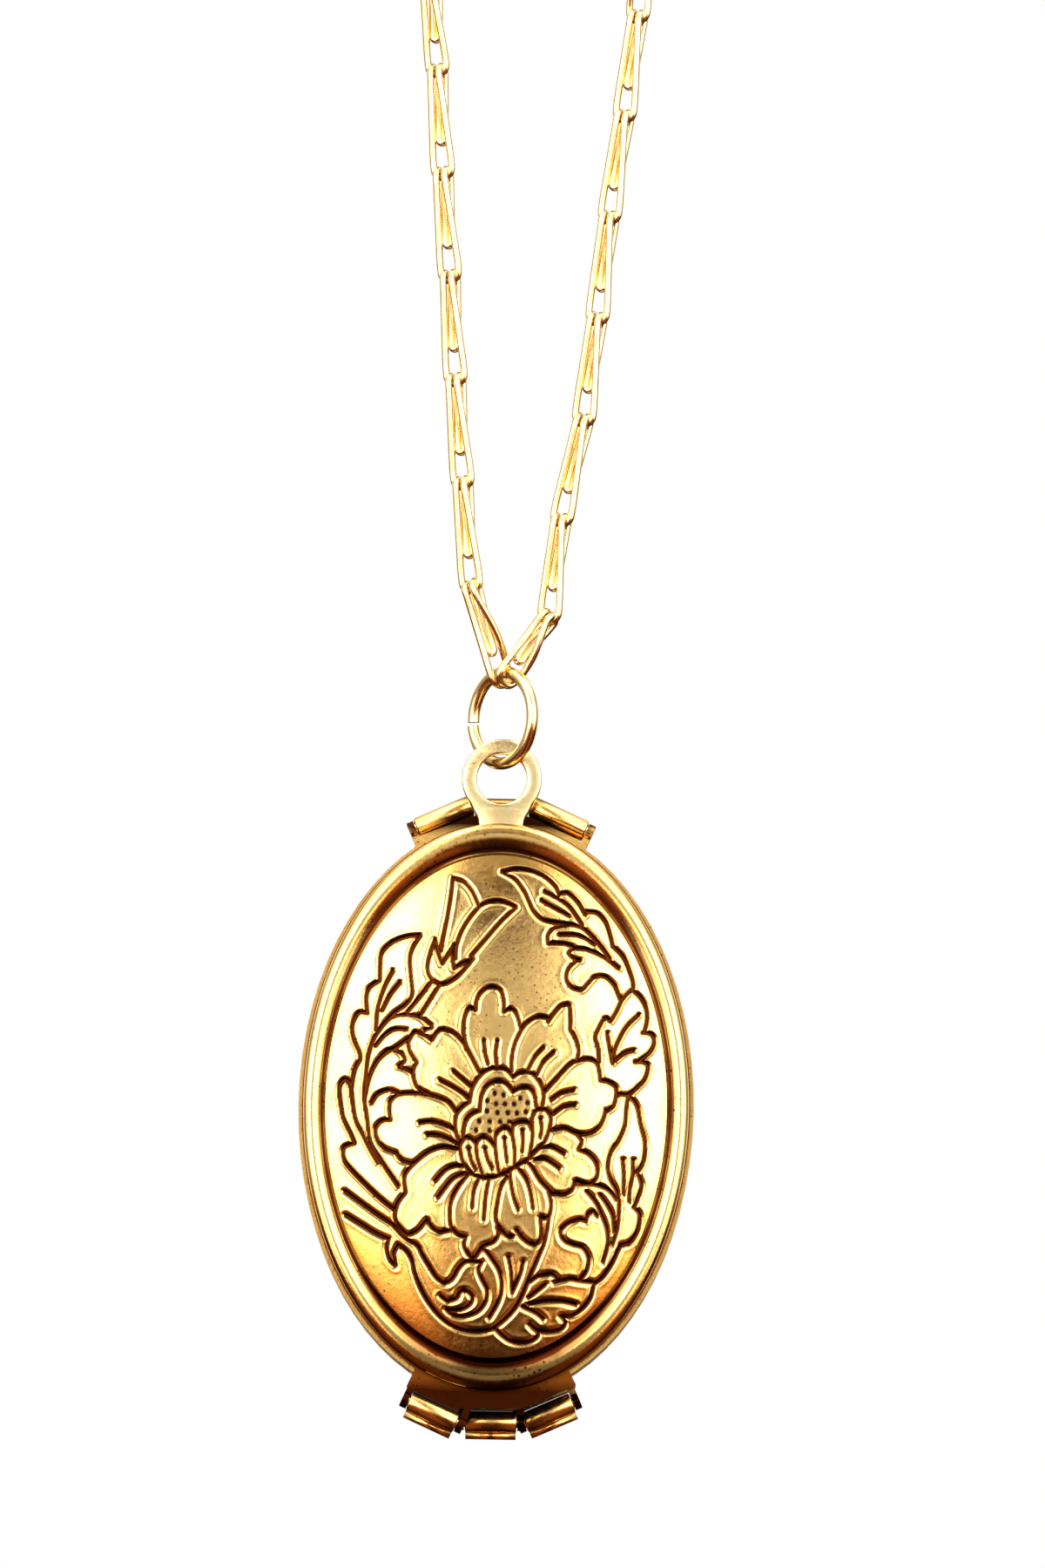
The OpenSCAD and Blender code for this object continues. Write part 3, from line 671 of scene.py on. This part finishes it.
def link_shape(length, bead):
    """Two rolled tubes and the web between them, along X, with Z away from the locket."""
    shape = bmesh.new()
    if bead:
        edge = bmesh.ops.create_cone(shape, cap_ends=True, segments=24, radius1=BEAD * MM,
                                     radius2=BEAD * MM, depth=(length - BEAD_SHORT) * MM)
        for v in edge["verts"]:
            v.co = (v.co.z, v.co.x + BEAD_ACROSS * MM, v.co.y + BEAD_UP * MM)
    for y in (0, PITCH):
        rings = []
        for along, radius in ROLL:
            circle = bmesh.ops.create_circle(shape, segments=ROLL_STEPS, radius=radius * MM)["verts"]
            for v in circle:
                v.co = (along * length * MM, v.co.x + y * MM, v.co.y)
            rings.append(circle)
        for one, two in zip(rings, rings[1:] + rings[:1]):
            for i in range(ROLL_STEPS):
                j = (i + 1) % ROLL_STEPS
                shape.faces.new((one[i], one[j], two[j], two[i]))
    web = bmesh.ops.create_cube(shape, size=1)["verts"]
    for v in web:
        along, across, up = v.co
        up = WEB_UP + up * WEB_THICK
        v.co = (along * (length - WEB_SHORT) * MM, (across + 0.5) * PITCH * MM, up * MM)
    edges = [e for e in shape.edges if e.verts[0] in web and e.verts[1] in web]
    bmesh.ops.bevel(shape, geom=edges, offset=WEB_EDGE * MM, segments=2, profile=0.5, affect="EDGES",
                    material=-1)
    return shape


for k, (x, z, slope, length) in enumerate(HINGES, 1):
    shape = link_shape(length, bead=z < 0)
    place = Matrix.Translation((x * MM, (k - 1) * PITCH * MM, MIDDLE.z + z * MM))
    turn = Matrix.Rotation(math.radians(slope), 4, "Y")
    bmesh.ops.transform(shape, matrix=place @ turn, verts=shape.verts)
    rolled = piece(f"rolled_link_{k}", shape)
    finish_piece(rolled, link_gold, f"link_{k}", [f"hinge_link_{k}"])

# The frames, pages, pins and cards -------------------------------------------------------------
# Frames and pages are flat stampings of plated brass, and pins are drawn wire. All keep their CAD
# shape. The cards are ivory paper behind clear film, slid into the wells of the pages.
RIM_OUT = 0.35 * MM
FIBRE = 1 / 3
# The front frame lies in shade behind the front cover, and its shade is painted in: brown gold with a
# soft shine, and painted shade towards its ends.
shaded_frame_gold = gold("darkened_gold_plate", "#6B3A10", "#2E1003", (0.3, 0.5), shaded_ends=True)
# A page's rim is burnished bright, and shade is painted as brown on its ends round the hinges.
page_gold = gold("stamped_gold_plate", "#E2B566", "#2E1003", (0.18, 0.3), shaded_ends=True)

# Paper fibres of a third of a millimetre, under a film that gives a sharp, weak shine.
card = bpy.data.materials.new("ivory_photo_card")
card.use_nodes = True
paper_tree = card.node_tree
paper_shader = paper_tree.nodes["Principled BSDF"]
paper_place = node(paper_tree, "ShaderNodeTexCoord").outputs["Object"]
pulp = {"Scale": 1 / (FIBRE * MM), "Detail": 5.0}
fibre = node(paper_tree, "ShaderNodeTexNoise", pulp, {"Vector": paper_place})
ivory = node(paper_tree, "ShaderNodeValToRGB", None, {"Fac": fibre.outputs["Fac"]},
             [(0.3, "#E6DFCB"), (0.7, "#F2EDDF")])
paper_tree.links.new(ivory.outputs["Color"], paper_shader.inputs["Base Color"])
paper_shader.inputs["Roughness"].default_value = 0.5
paper_shader.inputs["Coat Weight"].default_value = 0.6
paper_shader.inputs["Coat Roughness"].default_value = 0.08


def round_rim(mesh, a, b):
    """Shades the flats along an oval plate's rim as the one curve that they stand for."""
    normals = [corner.vector.copy() for corner in mesh.corner_normals]
    for face in mesh.polygons:
        share = math.hypot(face.center.x / a, (face.center.z - MIDDLE.z) / b)
        if abs(face.normal.y) < 0.1 and abs(share - 1) < 0.004:
            for i in face.loop_indices:
                spot = mesh.vertices[mesh.loops[i].vertex_index].co
                normals[i] = Vector((spot.x / a**2, 0, (spot.z - MIDDLE.z) / b**2)).normalized()
    mesh.normals_split_custom_set(normals)


for name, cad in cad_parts.items():
    if name.startswith("photo_card"):
        skin = card
    elif name == "front_frame":
        skin = shaded_frame_gold
    elif name == "back_frame":
        skin = link_gold
    elif name.startswith("page") or name.startswith("hinge_link"):
        skin = page_gold
    else:
        skin = wire_gold
    cad.data.materials.clear()
    cad.data.materials.append(skin)
    if name.startswith("page") or name.endswith("_frame"):
        round_rim(cad.data, COVER_A + RIM_OUT, COVER_B + RIM_OUT)

# Light -----------------------------------------------------------------------------------------
# A white studio. Two bright walls stand at the sides, the middle is dimmer, and the floor side is
# dark, so that polished gold shows broad bright bands with brown between them.
WALLS = [(0.0, 0.12), (0.14, 0.5), (0.26, 1.0), (0.39, 1.0), (0.425, 0.14), (0.5, 0.12), (0.59, 0.15),
         (0.64, 1.0), (0.76, 1.0), (0.86, 0.45), (1.0, 0.12)]
DEPTHS = [(0.0, 1.0), (0.45, 1.0), (0.6, 0.3), (1.0, 0.25)]
LEVELS = [(0.0, "#3A1C0C"), (0.35, "#4A2410"), (0.41, "#B08048"), (0.455, "#F0E2C8"), (0.5, "#FFFBF2"),
          (0.66, "#FFFBF2"), (0.74, "#C8B088"), (1.0, "#FFFDF8")]
STUDIO_STRENGTH = 6.0

world = bpy.data.worlds.new("studio")
bpy.context.scene.world = world
world.use_nodes = True
sky = world.node_tree
sky.nodes.clear()
ways = node(sky, "ShaderNodeTexCoord").outputs["Generated"]
split = node(sky, "ShaderNodeSeparateXYZ", None, {"Vector": ways})
shades = []
for axis, stops in (("X", WALLS), ("Y", DEPTHS), ("Z", LEVELS)):
    share = node(sky, "ShaderNodeMapRange", {"From Min": -1.0}, {"Value": split.outputs[axis]})
    shade = node(sky, "ShaderNodeValToRGB", None, {"Fac": share.outputs["Result"]}, stops)
    shades.append(shade.outputs["Color"])
both = node(sky, "ShaderNodeMath", {"operation": "MULTIPLY"}, {0: shades[0], 1: shades[1]})
scaled = {"operation": "MULTIPLY", 1: STUDIO_STRENGTH}
strong = node(sky, "ShaderNodeMath", scaled, {0: both.outputs["Value"]}).outputs["Value"]
lit = node(sky, "ShaderNodeBackground", None, {"Color": shades[2], "Strength": strong})
seen = node(sky, "ShaderNodeBackground", {"Color": (1, 1, 1, 1), "Strength": 1.0})
ray = node(sky, "ShaderNodeLightPath").outputs["Is Camera Ray"]
choice = {"Fac": ray, 1: lit.outputs["Background"], 2: seen.outputs["Background"]}
mixed = node(sky, "ShaderNodeMixShader", None, choice)
node(sky, "ShaderNodeOutputWorld", None, {"Surface": mixed.outputs["Shader"]})


def screen(name, corners, material_name, colour, roughness):
    """A flat screen of the studio, which isn't part of the object."""
    mesh = bpy.data.meshes.new(name)
    mesh.from_pydata(corners, [], [(0, 1, 2, 3)])
    made = bpy.data.objects.new(name, mesh)
    bpy.context.scene.collection.objects.link(made)
    material = bpy.data.materials.new(material_name)
    material.use_nodes = True
    shader = material.node_tree.nodes["Principled BSDF"]
    shader.inputs["Base Color"].default_value = linear(colour)
    shader.inputs["Roughness"].default_value = roughness
    mesh.materials.append(material)
    return made


# White paper lies well below the locket. A small brown flag in front, seen only as a reflection,
# darkens the upper part of the dome.
paper = [(-2, -2, -0.25), (2, -2, -0.25), (2, 2, -0.25), (-2, 2, -0.25)]
floor = screen("floor", paper, "white_paper", "#F4F2EE", 0.9)
floor.visible_glossy = False
felt = [(-0.06, -0.6, 0.14), (0.06, -0.6, 0.14), (0.06, -0.6, 0.25), (-0.06, -0.6, 0.25)]
flag = screen("flag", felt, "brown_felt", "#4A2A14", 1)
flag.visible_camera = False
flag.visible_shadow = False


def soft_box(name, place, size, watts):
    """A rectangular lamp behind cloth, turned towards the locket."""
    lamp = bpy.data.lights.new(name, "AREA")
    lamp.shape = "RECTANGLE"
    lamp.size, lamp.size_y = size
    lamp.energy = watts
    made = bpy.data.objects.new(name, lamp)
    made.location = place
    made.rotation_euler = (MIDDLE - Vector(place)).to_track_quat("-Z", "Y").to_euler()
    bpy.context.scene.collection.objects.link(made)


soft_box("left_box", (-0.62, -0.45, 0.1), (0.34, 0.9), 1.5)
soft_box("right_box", (0.62, -0.42, 0.1), (0.34, 0.9), 1.5)
soft_box("top_box", (0, -0.35, 0.75), (0.7, 0.4), 0.8)

bpy.context.scene.view_settings.view_transform = "Standard"
